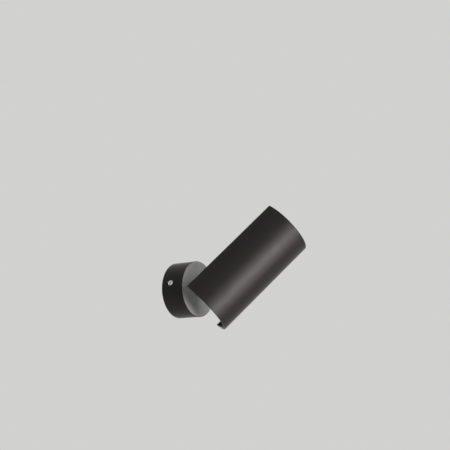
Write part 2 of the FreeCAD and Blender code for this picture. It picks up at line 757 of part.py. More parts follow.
def tab_washer():
    """Washer keyed to the stem's flat, with a lug that meets the stop pin."""
    lug_end = stop_pin_place + TAB_LUG_OVER
    washer = rod(TAB_R, tab_back, tab_front)
    washer = washer.fuse(block(0, lug_end, -TAB_LUG_W / 2, TAB_LUG_W / 2, tab_back, tab_front))
    key = block(STEM_FLAT + M3_FIT, TAB_R, -TAB_R, TAB_R, tab_back - PAST, bush_back + PAST)
    keyhole = rod(STEM_R + M3_FIT, tab_back - PAST, bush_back + PAST).cut(key)
    return washer.cut(keyhole).removeSplitter()


def disc_spring():
    """Conical spring washer that sets the swivel's friction."""
    inner = STEM_R + RUNNING_FIT
    return turned([
        (inner, spring_back), (inner, spring_back + SPRING_T), (SPRING_R, tab_back),
        (SPRING_R, tab_back - SPRING_T),
    ])


def stem_nut():
    """Lock nut: a hexagon and the round collar of its nylon ring."""
    nut = hex_nut(STEM_NUT_AF, STEM_R, spring_back - STEM_NUT_H, STEM_NUT_H)
    collar = ring(STEM_R, STEM_NUT_COLLAR_R, stem_nut_back, spring_back - STEM_NUT_H)
    return nut.fuse(collar).removeSplitter()


def lead_sleeving():
    low = stem_back - SLEEVING_TAIL
    return ring(SLEEVING_R - SLEEVING_WALL, SLEEVING_R, low, bridge_top - TIP_SHORT)


def stem_leads():
    """The three leads through the stem, up to where they bend with the knuckle."""
    low = base_lead_top + LEAD_JOIN_GAP
    high = pivot_height - LEAD_BEND_GAP
    places = [bundle_place(number, HEAD_BUNDLE_CLOCK) for number in range(LEAD_COUNT)]
    return Part.makeCompound([rod(LEAD_R, low, high, place.x, place.y) for place in places])


def knuckle_fork():
    """Fork: its ears are round on the side the head leans to and square on the other, as a stop."""
    high = pivot_height + KNUCKLE_HALF_X
    body = block(
        -KNUCKLE_HALF_X, KNUCKLE_HALF_X, -KNUCKLE_HALF_Y, KNUCKLE_HALF_Y, fork_foot, high,
    )
    body = body.makeFillet(FORK_EDGE, parallel_edges(body, AXIS_Z))
    round_side = rod(KNUCKLE_HALF_X, -KNUCKLE_HALF_Y - PAST, KNUCKLE_HALF_Y + PAST)
    round_side = round_side.rotated(ORIGIN, AXIS_X, 90).translated(AXIS_Z * pivot_height)
    corner = block(
        0, KNUCKLE_HALF_X + PAST, -KNUCKLE_HALF_Y - PAST, KNUCKLE_HALF_Y + PAST,
        pivot_height, high + PAST,
    )
    body = body.cut(corner.cut(round_side))
    ear_inner = KNUCKLE_HALF_Y - EAR_T
    gap = block(
        -KNUCKLE_HALF_X - PAST, KNUCKLE_HALF_X + PAST, -ear_inner, ear_inner, bridge_top, high + PAST,
    )
    body = body.cut(gap).cut(rod(TIP_R, fork_foot - PAST, bridge_top + PAST))
    axle_hole = rod(PIVOT_SCREW_R + RUNNING_FIT, -KNUCKLE_HALF_Y - PAST, KNUCKLE_HALF_Y + PAST)
    body = body.cut(axle_hole.rotated(ORIGIN, AXIS_X, 90).translated(AXIS_Z * pivot_height))
    grub_hole = rod(M3_R, 0, KNUCKLE_HALF_X + PAST).rotated(ORIGIN, AXIS_Y, -90)
    return body.cut(grub_hole.translated(AXIS_Z * (fork_foot + GRUB_HEIGHT)))


def fork_grub_screw():
    length = KNUCKLE_HALF_X - GRUB_SINK - TIP_R
    screw = grub_screw(M3_R, length).translated(AXIS_Z * (KNUCKLE_HALF_X - GRUB_SINK))
    screw = screw.rotated(ORIGIN, AXIS_Y, -90).translated(AXIS_Z * (fork_foot + GRUB_HEIGHT))
    seat = rod(TIP_R, fork_foot, bridge_top)
    return screw.cut(seat)


# ---- head ----------------------------------------------------------------------------------------

def across_axis(low, high, radius):
    """A rod along the tilt axis, y from low to high."""
    return rod(radius, low, high).rotated(ORIGIN, AXIS_X, -90)


def knuckle_tongue():
    """Two cheeks on the tilt axis, a root that meets the fork's stops and a hollow threaded nipple."""
    outer = cheek_inner + CHEEK_T
    tongue = block(
        -KNUCKLE_HALF_X, KNUCKLE_HALF_X, -KNUCKLE_HALF_Y, KNUCKLE_HALF_Y, root_back, root_front,
    )
    tongue = tongue.makeFillet(FORK_EDGE, parallel_edges(tongue, AXIS_Z))
    cheeks = across_axis(-outer, outer, CHEEK_R)
    cheeks = cheeks.fuse(block(-CHEEK_R, CHEEK_R, -outer, outer, 0, root_back))
    tongue = tongue.fuse(cheeks).fuse(rod(STEM_R, root_back, nipple_end))
    gap = block(
        -KNUCKLE_HALF_X - PAST, KNUCKLE_HALF_X + PAST, -cheek_inner, cheek_inner,
        -KNUCKLE_HALF_X - PAST, root_back,
    )
    tongue = tongue.cut(gap).cut(rod(STEM_BORE_R, root_back - PAST, nipple_end + PAST))
    return tongue.cut(across_axis(-outer - PAST, outer + PAST, PIVOT_SCREW_R)).removeSplitter()


def on_both_sides(make_side):
    """A group of two solids, one for each end of the tilt axis."""
    return Part.makeCompound([make_side(), make_side().rotated(ORIGIN, AXIS_Z, 180)])


def friction_washers():
    low = cheek_inner + CHEEK_T

    def washer():
        return ring(PIVOT_SCREW_R + RUNNING_FIT, FRICTION_R, low, low + FRICTION_T).rotated(
            ORIGIN, AXIS_X, -90
        )

    return on_both_sides(washer)


def pivot_spring_washers():
    def washer():
        low = KNUCKLE_HALF_Y + FACE_GAP
        flat = ring(PIVOT_SCREW_R + RUNNING_FIT, PIVOT_WASHER_R, low, pivot_head_under())
        return flat.rotated(ORIGIN, AXIS_X, -90)

    return on_both_sides(washer)


def pivot_head_under():
    return KNUCKLE_HALF_Y + FACE_GAP + PIVOT_WASHER_T


def pivot_screws():
    """Socket-head shoulder screws, one from each side, so that the middle stays free for the leads."""
    def screw():
        under = pivot_head_under()
        top = under + PIVOT_HEAD_H
        made = turned([
            (0, cheek_inner + EDGE), (PIVOT_SCREW_R, cheek_inner + EDGE), (PIVOT_SCREW_R, under),
            (PIVOT_HEAD_R, under), (PIVOT_HEAD_R, top - EDGE * 2), (PIVOT_HEAD_R - EDGE * 2, top),
            (0, top),
        ])
        made = made.cut(hexagon(PIVOT_SOCKET_AF, top - PIVOT_SOCKET_DEPTH, top + PAST))
        return made.rotated(ORIGIN, AXIS_X, -90)

    return on_both_sides(screw)


def bent_bracket(back, thickness, foot_outer, above, foot_end):
    """A strip bent to an L: an upright across the head at z = back, and a foot along the crown."""
    half = STRIP_W / 2
    foot_inner = foot_outer - thickness
    outline = [
        V(-foot_outer, -half, back), V(above, -half, back), V(above, -half, back + thickness),
        V(-foot_inner, -half, back + thickness), V(-foot_inner, -half, foot_end),
        V(-foot_outer, -half, foot_end),
    ]
    strip = extruded(outline, AXIS_Y * STRIP_W)
    inside = edges_near(strip, [V(-foot_inner, 0, back + thickness)])
    strip = strip.makeFillet(STRIP_BEND, inside)
    outside = edges_near(strip, [V(-foot_outer, 0, back)])
    strip = strip.makeFillet(STRIP_BEND + thickness, outside)
    corners = [V(above, side * half, back + thickness / 2) for side in (-1, 1)]
    corners += [V(-foot_outer + thickness / 2, side * half, foot_end) for side in (-1, 1)]
    return strip.makeFillet(STRIP_CORNER, edges_near(strip, corners))


def radial_rod(radius, low, high, along):
    """A rod towards the crown: from low to high off the head's axis, at a place along the head."""
    return rod(radius, low, high).rotated(ORIGIN, AXIS_Y, -90).translated(AXIS_Z * along)


def lamp_bracket():
    """Carries the shade and the lamp holder on the knuckle's nipple."""
    strip = bent_bracket(root_front, STRIP_T, leg_outer, TAB_ABOVE, LEG_END)
    strip = strip.cut(rod(STEM_R + M3_FIT, root_front - PAST, root_front + STRIP_T + PAST))
    earth = rod(M3_R, root_front - PAST, root_front + STRIP_T + PAST, -HEAD_EARTH_DROP, 0)
    strip = strip.cut(earth)
    for along in STUD_PLACES:
        strip = strip.cut(radial_rod(M3_R + M3_CLEAR, leg_inner - PAST, leg_outer + PAST, along))
    return strip.cut(radial_rod(M3_R, leg_inner - PAST, leg_outer + PAST, foot_screw_place))


def holder_plate():
    """Small bent plate for the lamp holder, its foot screwed to the long bracket."""
    plate = bent_bracket(
        HOLDER_PLATE_BACK, HOLDER_PLATE_T, leg_inner,
        lamp_axis_x + HOLDER_PLATE_ABOVE, HOLDER_PLATE_BACK + HOLDER_PLATE_T + HOLDER_PLATE_FOOT,
    )
    half = HOLDER_L / 2
    wide = block(
        lamp_axis_x - HOLDER_PLATE_NECK, lamp_axis_x + HOLDER_PLATE_ABOVE, -half, half,
        HOLDER_PLATE_BACK, holder_back,
    )
    wide = wide.makeFillet(STRIP_CORNER, parallel_edges(wide, AXIS_Z))
    plate = plate.fuse(wide).removeSplitter()
    plate = plate.cut(rod(LEAD_HOLE_R, HOLDER_PLATE_BACK - PAST, holder_back + PAST, lamp_axis_x, 0))
    for side in (-1, 1):
        y = side * HOLDER_FIX_SPACING / 2
        plate = plate.cut(rod(M3_R, HOLDER_PLATE_BACK - PAST, holder_back + PAST, lamp_axis_x, y))
    foot_inner = leg_inner - HOLDER_PLATE_T
    return plate.cut(radial_rod(M3_R + M3_CLEAR, foot_inner - PAST, leg_inner + PAST, foot_screw_place))


def holder_plate_screw():
    screw = pan_screw(M3_R - M3_FIT, M3_HEAD_R, M3_HEAD_H, HOLDER_PLATE_T + STRIP_T + EDGE)
    return screw.rotated(ORIGIN, AXIS_Y, 90).translated(V(HOLDER_PLATE_T - leg_inner, 0, foot_screw_place))


def nipple_nut():
    return hex_nut(HEAD_NUT_AF, STEM_R, root_front + STRIP_T, HEAD_NUT_H)


def head_earth_tag():
    tag = ring_tag(M3_R).rotated(ORIGIN, AXIS_Z, 90)
    return tag.translated(V(-HEAD_EARTH_DROP, 0, root_front + STRIP_T))


def head_earth_screw():
    screw = pan_screw(M3_R - M3_FIT, M3_HEAD_R, M3_HEAD_H, TAG_T + STRIP_T + EDGE)
    return screw.translated(V(-HEAD_EARTH_DROP, 0, root_front + STRIP_T + TAG_T))


def shade():
    """Half a tube, its cut edges in the plane of the tilt axis."""
    low = AXIS_Z * -SHADE_BACK
    outside = Part.makeCylinder(shade_r, SHADE_L, low, AXIS_Z, 180)
    inside = Part.makeCylinder(shade_inner_r, SHADE_L, low, AXIS_Z, 180)
    half_tube = outside.cut(inside)
    half_tube = half_tube.makeChamfer(SHADE_EDGE, half_tube.Edges)
    return half_tube.rotated(ORIGIN, AXIS_Z, 90)


def shade_studs():
    """Threaded studs welded to the inside of the crown."""
    tip = leg_inner - WASHER_T - NUT_H - STUD_TAIL
    tube_inside = rod(shade_inner_r, -SHADE_BACK, shade_front)
    studs = []
    for along in STUD_PLACES:
        stud = radial_rod(M3_R, tip, shade_r, along)
        studs.append(stud.common(tube_inside))
    return Part.makeCompound(studs)


def stud_washers():
    washers = []
    for along in STUD_PLACES:
        washer = ring(M3_R + M3_CLEAR, WASHER_R, leg_inner - WASHER_T, leg_inner)
        washers.append(washer.rotated(ORIGIN, AXIS_Y, -90).translated(AXIS_Z * along))
    return Part.makeCompound(washers)


def stud_nuts():
    nuts = []
    low = leg_inner - WASHER_T - NUT_H
    for along in STUD_PLACES:
        nut = hex_nut(NUT_AF, M3_R, low, NUT_H)
        nuts.append(nut.rotated(ORIGIN, AXIS_Y, -90).translated(AXIS_Z * along))
    return Part.makeCompound(nuts)


def lamp_holder():
    """Ceramic holder: an oblong block with two twist-in sockets and two sunk fixing holes."""
    end_r = HOLDER_W / 2
    run = HOLDER_L / 2 - end_r
    body = block(-end_r, end_r, -run, run, holder_back, holder_front)
    for side in (-1, 1):
        body = body.fuse(rod(end_r, holder_back, holder_front, 0, side * run))
    body = body.removeSplitter()
    front_edges = [edge for edge in body.Edges if abs(edge.BoundBox.ZMin - holder_front) < EDGE / 2]
    body = body.makeFillet(HOLDER_EDGE, front_edges)
    floor = holder_front - SOCKET_DEPTH
    for side in (-1, 1):
        body = body.cut(rod(SOCKET_R, floor, holder_front + PAST, 0, side * PIN_SPACING / 2))
        y = side * HOLDER_FIX_SPACING / 2
        body = body.cut(rod(M3_R + M3_CLEAR, holder_back - PAST, holder_front + PAST, 0, y))
        sunk = holder_front - M3_HEAD_H - EDGE
        body = body.cut(rod(M3_HEAD_R + M3_CLEAR, sunk, holder_front + PAST, 0, y))
        wire_hole = rod(LEAD_R + M3_CLEAR, holder_back - PAST, floor + PAST, 0, side * lead_gap())
        body = body.cut(wire_hole)
    body = body.cut(socket_tracks(floor))
    return body.translated(AXIS_X * lamp_axis_x)


def socket_tracks(floor):
    """The narrow arcs that the pins' necks slide along when the lamp is twisted in."""
    middle_r = PIN_SPACING / 2
    tracks = []
    for side in (90, 270):
        outer_r = middle_r + SOCKET_TRACK_R
        outer = Part.makeCylinder(outer_r, SOCKET_DEPTH + PAST, V(0, 0, floor), AXIS_Z, SOCKET_TWIST)
        inner = rod(middle_r - SOCKET_TRACK_R, floor - PAST, holder_front + 2 * PAST)
        tracks.append(outer.cut(inner).rotated(ORIGIN, AXIS_Z, side))
    return tracks[0].fuse(tracks[1])


def lead_gap():
    """Half the distance between the two leads where they enter the holder."""
    return PIN_SPACING / 4


def holder_screws():
    under = holder_front - M3_HEAD_H - EDGE
    length = under - HOLDER_PLATE_BACK + EDGE
    screws = []
    for side in (-1, 1):
        screw = pan_screw(M3_R - M3_FIT, M3_HEAD_R, M3_HEAD_H, length)
        screws.append(screw.translated(V(lamp_axis_x, side * HOLDER_FIX_SPACING / 2, under)))
    return Part.makeCompound(screws)


def lamp_body():
    """Finned cone with a rim that holds the lens."""
    neck_z = holder_front + LAMP_NECK_L
    rim_z = lamp_front - LAMP_RIM_L
    shoulder_r = LAMP_R - LAMP_RIM_STEP
    body = turned([
        (0, neck_z), (LAMP_NECK_R, neck_z), (shoulder_r, rim_z), (LAMP_R, rim_z + LAMP_RIM_STEP / 2),
        (LAMP_R, lamp_front - EDGE), (LAMP_R - EDGE, lamp_front), (LENS_R, lamp_front),
        (LENS_R, lens_seat), (CAVITY_R, lens_seat), (CAVITY_FLOOR_R, led_board_back),
        (0, led_board_back),
    ])
    slope = math.degrees(math.atan2(shoulder_r - LAMP_NECK_R, rim_z - neck_z))
    length = math.hypot(shoulder_r - LAMP_NECK_R, rim_z - neck_z)
    groove = block(
        -LAMP_FIN_GROOVE, LAMP_RIM_STEP * 2, -LAMP_FIN_GAP_W / 2, LAMP_FIN_GAP_W / 2,
        length * LAMP_FIN_START, length * LAMP_FIN_END,
    )
    groove = groove.rotated(ORIGIN, AXIS_Y, slope).translated(V(LAMP_NECK_R, 0, neck_z))
    grooves = [groove.rotated(ORIGIN, AXIS_Z, 360 * n / LAMP_FIN_COUNT) for n in range(LAMP_FIN_COUNT)]
    return body.cut(grooves).translated(AXIS_X * lamp_axis_x)


def lamp_base():
    """Moulded foot of the lamp, between its pins and its finned body."""
    neck_z = holder_front + LAMP_NECK_L
    foot = turned([
        (0, holder_front), (LAMP_FOOT_R - EDGE, holder_front), (LAMP_FOOT_R, holder_front + EDGE),
        (LAMP_FOOT_R, holder_front + LAMP_FOOT_L), (LAMP_NECK_R, neck_z), (0, neck_z),
    ])
    return foot.translated(AXIS_X * lamp_axis_x)


def lens_rings():
    """Radius, count and first place of each ring of dimples: one in the middle and two rings round it."""
    inner, outer = LENS_RING_SHARES
    return [
        (0.0, 1, 0.0), (LENS_R * inner, LENS_DIMPLE_COUNT // 2, 0.0), (LENS_R * outer, LENS_DIMPLE_COUNT, 0.5),
    ]


def lamp_lens():
    """Front lens with a ring of shallow dimples round a middle one."""
    top = lamp_front - LENS_RECESS
    lens = rod(LENS_R, top - LENS_T, top)
    ball_r = (LENS_DIMPLE_R ** 2 + LENS_DIMPLE_DEPTH ** 2) / (2 * LENS_DIMPLE_DEPTH)
    balls = []
    for radius, count, first in lens_rings():
        for number in range(count):
            angle = 2 * math.pi * (number + first) / count
            centre = V(radius * math.cos(angle), radius * math.sin(angle), top + ball_r - LENS_DIMPLE_DEPTH)
            balls.append(Part.makeSphere(ball_r, centre))
    return lens.cut(balls).translated(AXIS_X * lamp_axis_x)


def lamp_led_board():
    """Round board on the floor of the cavity behind the lens."""
    board = rod(CAVITY_FLOOR_R - M3_CLEAR, led_board_back, led_board_back + LED_BOARD_T)
    return board.translated(AXIS_X * lamp_axis_x)


def lamp_leds():
    """Square chips on the board, one under the middle dimple and one under each of the inner ring."""
    low = led_board_back + LED_BOARD_T
    half = LED_SIDE / 2
    chips = []
    for radius, count, first in lens_rings()[:2]:
        for number in range(count):
            chip = block(radius - half, radius + half, -half, half, low, low + LED_T)
            turn = 360 * (number + first) / count
            chips.append(chip.rotated(ORIGIN, AXIS_Z, turn).translated(AXIS_X * lamp_axis_x))
    return Part.makeCompound(chips)


def holder_contacts():
    """Spring strips on the sockets' floors that the pins' heads press on."""
    floor = holder_front - SOCKET_DEPTH
    top = holder_front - PIN_L
    strips = []
    for side in (-1, 1):
        outline = [
            V(-CONTACT_L / 2, 0, floor), V(CONTACT_L / 2, 0, floor),
            V(CONTACT_L / 2, 0, floor + CONTACT_T), V(CONTACT_T - CONTACT_L / 2, 0, floor + CONTACT_T),
            V(CONTACT_L / 4, 0, top), V(CONTACT_L / 4 - CONTACT_T, 0, top),
            V(-CONTACT_L / 2, 0, floor + 2 * CONTACT_T),
        ]
        strip = extruded(outline, AXIS_Y * CONTACT_W)
        strips.append(strip.translated(V(lamp_axis_x, side * PIN_SPACING / 2 - CONTACT_W / 2, 0)))
    return Part.makeCompound(strips)


def lamp_pins():
    pins = []
    low = holder_front - PIN_L
    for side in (-1, 1):
        pin = turned([
            (0, low), (PIN_HEAD_R - EDGE, low), (PIN_HEAD_R, low + EDGE), (PIN_HEAD_R, low + PIN_HEAD_L),
            (PIN_R, low + PIN_HEAD_L), (PIN_R, holder_front), (0, holder_front),
        ])
        pins.append(pin.translated(V(lamp_axis_x, side * PIN_SPACING / 2, 0)))
    return Part.makeCompound(pins)


def head_lead(number, side, label):
    """From inside the knuckle, out of the nipple and into the back of the holder."""
    start = bundle_place(number, HEAD_BUNDLE_CLOCK) + AXIS_Z * LEAD_BEND_GAP
    leaving = V(start.x, start.y, earth_over + 2 * LEAD_R + LEAD_CROSS_GAP)
    entry = V(lamp_axis_x, side * lead_gap(), HOLDER_PLATE_BACK)
    inside = entry + AXIS_Z * (HOLDER_PLATE_T + (HOLDER_H - SOCKET_DEPTH))
    return lead([start, leaving, entry, inside], label)


def head_earth_lead():
    """From the nipple out over its nut, round beside the bracket and into the tag's barrel."""
    barrel_z = root_front + STRIP_T + LEAD_R + TAG_BARREL_WALL
    start = bundle_place(0, HEAD_BUNDLE_CLOCK) + AXIS_Z * LEAD_BEND_GAP
    points = [
        start,
        V(start.x, start.y, earth_over),
        V(-HEAD_EARTH_DROP * HEAD_EARTH_BEND, HEAD_EARTH_LOOP, earth_over),
        V(-HEAD_EARTH_DROP, HEAD_EARTH_LOOP, barrel_z),
        V(-HEAD_EARTH_DROP, TAG_R + TAG_BARREL_WALL, barrel_z),
    ]
    return lead(points, "head_earth_lead")


def parts():
    """Every sub-part in its place."""
    base = {
        "wall_plate": wall_plate(),
        "cable_grommet": cable_grommet(),
        "terminal_block": terminal_block(),
        "terminal_sleeves": terminal_sleeves(),
        "terminal_screws": terminal_screws(),
        "terminal_block_screws": block_screws(),
        "base_earth_tag": base_earth_tag(),
        "base_earth_screw": base_earth_screw(),
        "base_earth_lead": base_earth_lead(),
        "base_live_lead": base_lead(1, 0, "base_live_lead"),
        "base_neutral_lead": base_lead(2, 1, "base_neutral_lead"),
        "base_cup": base_cup(),
        "base_side_screws": side_screws(),
        "front_disc": front_disc(),
        "front_disc_screws": disc_screws(),
        "swivel_bush": swivel_bush(),
        "swivel_stop_pin": swivel_stop_pin(),
    }
    swivel = {
        "thrust_washer": thrust_washer(),
        "swivel_stem": swivel_stem(),
        "tab_washer": tab_washer(),
        "disc_spring": disc_spring(),
        "stem_nut": stem_nut(),
        "lead_sleeving": lead_sleeving(),
        "stem_leads": stem_leads(),
        "knuckle_fork": knuckle_fork(),
        "fork_grub_screw": fork_grub_screw(),
    }
    head = {
        "knuckle_tongue": knuckle_tongue(),
        "friction_washers": friction_washers(),
        "pivot_screws": pivot_screws(),
        "pivot_spring_washers": pivot_spring_washers(),
        "nipple_nut": nipple_nut(),
        "lamp_bracket": lamp_bracket(),
        "head_earth_tag": head_earth_tag(),
        "head_earth_screw": head_earth_screw(),
        "head_earth_lead": head_earth_lead(),
        "shade": shade(),
        "shade_studs": shade_studs(),
        "stud_washers": stud_washers(),
        "stud_nuts": stud_nuts(),
        "holder_plate": holder_plate(),
        "holder_plate_screw": holder_plate_screw(),
        "lamp_holder": lamp_holder(),
        "holder_screws": holder_screws(),
        "holder_contacts": holder_contacts(),
        "lamp_body": lamp_body(),
        "lamp_base": lamp_base(),
        "lamp_lens": lamp_lens(),
        "lamp_led_board": lamp_led_board(),
        "lamp_leds": lamp_leds(),
        "lamp_pins": lamp_pins(),
        "head_live_lead": head_lead(1, 1, "head_live_lead"),
        "head_neutral_lead": head_lead(2, -1, "head_neutral_lead"),
    }
    placed = {name: in_base(shape) for name, shape in base.items()}
    placed.update({name: in_swivel(shape) for name, shape in swivel.items()})
    placed.update({name: in_head(shape) for name, shape in head.items()})
    return placed


os.makedirs("parts", exist_ok=True)
for part_name, part_shape in parts().items():
    if not part_shape.isValid():
        print("not valid:", part_name)
    part_shape.exportStep(f"parts/{part_name}.step")
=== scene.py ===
"""The looks of a pivoting wall spotlight: finishes, fine pieces, soft studio light and a camera."""

import json
import math

import bpy
from mathutils import Matrix, Vector


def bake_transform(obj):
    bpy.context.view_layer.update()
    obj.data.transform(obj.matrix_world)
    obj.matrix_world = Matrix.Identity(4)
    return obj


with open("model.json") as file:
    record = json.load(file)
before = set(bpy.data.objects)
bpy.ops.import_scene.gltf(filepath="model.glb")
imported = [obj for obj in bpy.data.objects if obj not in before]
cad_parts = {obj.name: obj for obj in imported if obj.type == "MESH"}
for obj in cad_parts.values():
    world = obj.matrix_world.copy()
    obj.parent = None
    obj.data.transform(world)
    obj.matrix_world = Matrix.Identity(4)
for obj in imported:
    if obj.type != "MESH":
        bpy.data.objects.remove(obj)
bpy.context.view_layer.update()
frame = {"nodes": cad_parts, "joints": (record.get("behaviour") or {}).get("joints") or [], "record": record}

MM = 0.001

# Tones and patterns that the finishes add to the record's colours.
BLACK_PAINT_LIFT = 1.7
DISC_PAINT_LIFT = 1.06
ZINC_TINT = (0.50, 0.52, 0.50)
NICKEL_TINT = (0.55, 0.54, 0.50)
EARTH_STRIPE = (0.80, 0.62, 0.03)
STRIPE_SCALE = 110.0         # of the earth leads' bands: a larger one makes them narrower
BRAID_STRANDS = 10.0         # strands each way round the sleeving
BRAID_PITCH = 2600.0         # radians of the braid to a metre of sleeving

# The camera, in metres in the object's own frame.
CAMERA_PLACE = Vector((-0.7736, -0.6005, -0.2399))
CAMERA_AHEAD = Vector((0.7768, 0.5478, 0.3107))
CAMERA_UP = Vector((-0.2992, -0.1131, 0.9475))
CAMERA_LENS = 73.39          # millimetres, on a square sensor
CAMERA_SENSOR = 36.0
CAMERA_REACH = 50            # metres to the farthest thing that it shows

# The studio.
BACKGROUND = (0.64, 0.64, 0.63)
WORLD_LIGHT = 0.07           # how much the surroundings light matt surfaces
FLOOR_COLOUR = (0.66, 0.66, 0.65)
FLOOR_DROP = 1.4             # floor below the middle of the base, as under a lamp on a wall
FLOOR_SIZE = 80.0
FLOOR_CLOUD_MM = 300         # width of the faint blotches in its tone
FLOOR_PLAIN_SHARE = 0.85     # of the floor's tone that doesn't depend on the lamps

# The lamps: powers in watts, places and sizes in metres.
LAMP_DISTANCE = 1.6
LAMP_SIZE = 0.5
KEY_POWER = 11.0             # the middle lamp of the key strip
KEY_HALF_TURN = 15.0         # degrees round the shade, from the middle lamp to one of half its power
KEY_STEPS = 2                # lamps on each side of the middle one
KEY_TINT = (1.0, 0.94, 0.92)
FILL_POWER = 4.5             # each of the weaker lamps
WARM = (1.0, 0.9, 0.75)
COOL = (0.65, 0.85, 1.0)
REAR_DIRECTION = Vector((0.1, 1.0, 0.15))
REAR_DISTANCE = 1.8
REAR_SIZE = 1.0
REAR_POWER = 18.0


# ---- the joints, and the frames of the bodies that they turn ---------------------------------------

joints = {joint["name"]: joint for joint in frame["joints"]}
PIVOT = Vector(joints["head_tilt"]["pos_m"])
TILT_AXIS = Vector(joints["head_tilt"]["axis"]).normalized()
OUTWARD = Vector(joints["head_swivel"]["axis"]).normalized()
LEAN = math.radians(-joints["head_tilt"]["range_deg"][0])
SIDEWARD = TILT_AXIS.cross(OUTWARD)
TO_HEAD = Matrix.Rotation(LEAN, 3, TILT_AXIS)
HEAD_X = TO_HEAD @ SIDEWARD  # the open side of the half tube
HEAD_Y = TILT_AXIS
HEAD_Z = TO_HEAD @ OUTWARD   # along the half tube, to its far end


def at_head(x, y, z):
    """A point of the head, given in millimetres from the tilt axis."""
    return PIVOT + (HEAD_X * x + HEAD_Y * y + HEAD_Z * z) * MM


def at_swivel(x, y, z):
    """A point of the swivel, in millimetres from the tilt axis, z out of the wall."""
    return PIVOT + (SIDEWARD * x + TILT_AXIS * y + OUTWARD * z) * MM


# ---- material parts --------------------------------------------------------------------------------

class Finish:
    """A material and its node tree, with the few kinds of node that the finishes are made of."""

    def __init__(self, name, roughness=0.5, metallic=0.0, specular=0.5):
        self.material = bpy.data.materials.new(name)
        self.material.use_nodes = True
        self.nodes = self.material.node_tree.nodes
        self.links = self.material.node_tree.links
        self.shader = self.nodes["Principled BSDF"]
        self.shader.inputs["Roughness"].default_value = roughness
        self.shader.inputs["Metallic"].default_value = metallic
        self.shader.inputs["Specular IOR Level"].default_value = specular
        self.place = self.nodes.new("ShaderNodeTexCoord").outputs["Object"]

    def stretched(self, scale):
        """The place on the object, stretched along its axes."""
        mapping = self.nodes.new("ShaderNodeMapping")
        mapping.inputs["Scale"].default_value = scale
        self.links.new(self.place, mapping.inputs["Vector"])
        return mapping.outputs["Vector"]

    def noise(self, grain_mm, detail=2.0, place=None, roughness=0.5):
        """Cloudy noise from 0 to 1 whose blotches are about one grain wide."""
        node = self.nodes.new("ShaderNodeTexNoise")
        node.inputs["Scale"].default_value = 1 / (grain_mm * MM)
        node.inputs["Detail"].default_value = detail
        node.inputs["Roughness"].default_value = roughness
        self.links.new(place or self.place, node.inputs["Vector"])
        return node.outputs["Fac"]

    def ranged(self, value, low, high, from_low=0.3, from_high=0.7):
        node = self.nodes.new("ShaderNodeMapRange")
        limits = {"From Min": from_low, "From Max": from_high, "To Min": low, "To Max": high}
        for socket, number in limits.items():
            node.inputs[socket].default_value = number
        self.links.new(value, node.inputs["Value"])
        return node.outputs["Result"]

    def blended(self, value, first, second):
        """A colour between two, by a value from 0 to 1. Either may be a colour or a socket."""
        node = self.nodes.new("ShaderNodeMix")
        node.data_type = "RGBA"
        self.links.new(value, node.inputs["Factor"])
        for socket, colour in ((node.inputs[6], first), (node.inputs[7], second)):
            if isinstance(colour, bpy.types.NodeSocket):
                self.links.new(colour, socket)
            else:
                socket.default_value = (*colour, 1)
        return node.outputs[2]

    def math(self, operation, first, second=0.0):
        node = self.nodes.new("ShaderNodeMath")
        node.operation = operation
        for socket, value in zip(node.inputs, (first, second)):
            if isinstance(value, bpy.types.NodeSocket):
                self.links.new(value, socket)
            else:
                socket.default_value = value
        return node.outputs["Value"]

    def colour(self, socket):
        self.links.new(socket, self.shader.inputs["Base Color"])

    def rough(self, socket):
        self.links.new(socket, self.shader.inputs["Roughness"])

    def bump(self, height, depth_mm, strength=1.0):
        node = self.nodes.new("ShaderNodeBump")
        node.inputs["Strength"].default_value = strength
        node.inputs["Distance"].default_value = depth_mm * MM
        self.links.new(height, node.inputs["Height"])
        self.links.new(node.outputs["Normal"], self.shader.inputs["Normal"])


def tone(colour, share):
    """A colour made lighter or darker by a share."""
    return tuple(min(1.0, part * share) for part in colour)


# ---- finishes --------------------------------------------------------------------------------------

def powder_coat(name, colour, roughness, specular, grain_mm=0.35, depth_mm=0.003, contrast=0.16):
    """Stoved paint: a fine orange peel, with the faintest cloudiness in tone and gloss."""
    finish = Finish(name, roughness=roughness, specular=specular)
    cloud = finish.noise(14, detail=3)
    finish.colour(finish.blended(cloud, tone(colour, 1 - contrast), tone(colour, 1 + contrast)))
    finish.rough(finish.ranged(cloud, roughness - 0.025, roughness + 0.025))
    finish.bump(finish.noise(grain_mm, detail=2), depth_mm)
    return finish.material


def plated_steel(name, colour, roughness, tint):
    """Zinc or nickel plate over rolled steel: fine rolling lines and a patchy tint."""
    finish = Finish(name, roughness=roughness, metallic=1.0)
    patch = finish.noise(6, detail=3)
    finish.colour(finish.blended(patch, colour, tint))
    lines = finish.noise(0.5, detail=2, place=finish.stretched((1.0, 1.0, 0.06)))
    finish.rough(finish.ranged(lines, roughness - 0.08, roughness + 0.10))
    finish.bump(lines, 0.006, 0.6)
    return finish.material


def black_steel(name, colour, roughness):
    """Blackened steel: mostly dark, a little metal shining through in fine turning lines."""
    finish = Finish(name, roughness=roughness, metallic=0.35, specular=0.4)
    wear = finish.noise(2.2, detail=4, roughness=0.65)
    finish.colour(finish.blended(finish.ranged(wear, 0, 1, 0.58, 0.80), colour, tone(colour, 2.4)))
    finish.rough(finish.ranged(wear, roughness - 0.06, roughness + 0.08))
    finish.bump(finish.noise(0.25), 0.006)
    return finish.material


def warm_brass(name, colour, roughness=0.28):
    finish = Finish(name, roughness=roughness, metallic=1.0)
    patch = finish.noise(3, detail=4)
    finish.colour(finish.blended(patch, colour, tone(colour, 0.72)))
    finish.rough(finish.ranged(patch, roughness - 0.05, roughness + 0.14))
    finish.bump(finish.noise(0.3), 0.004)
    return finish.material


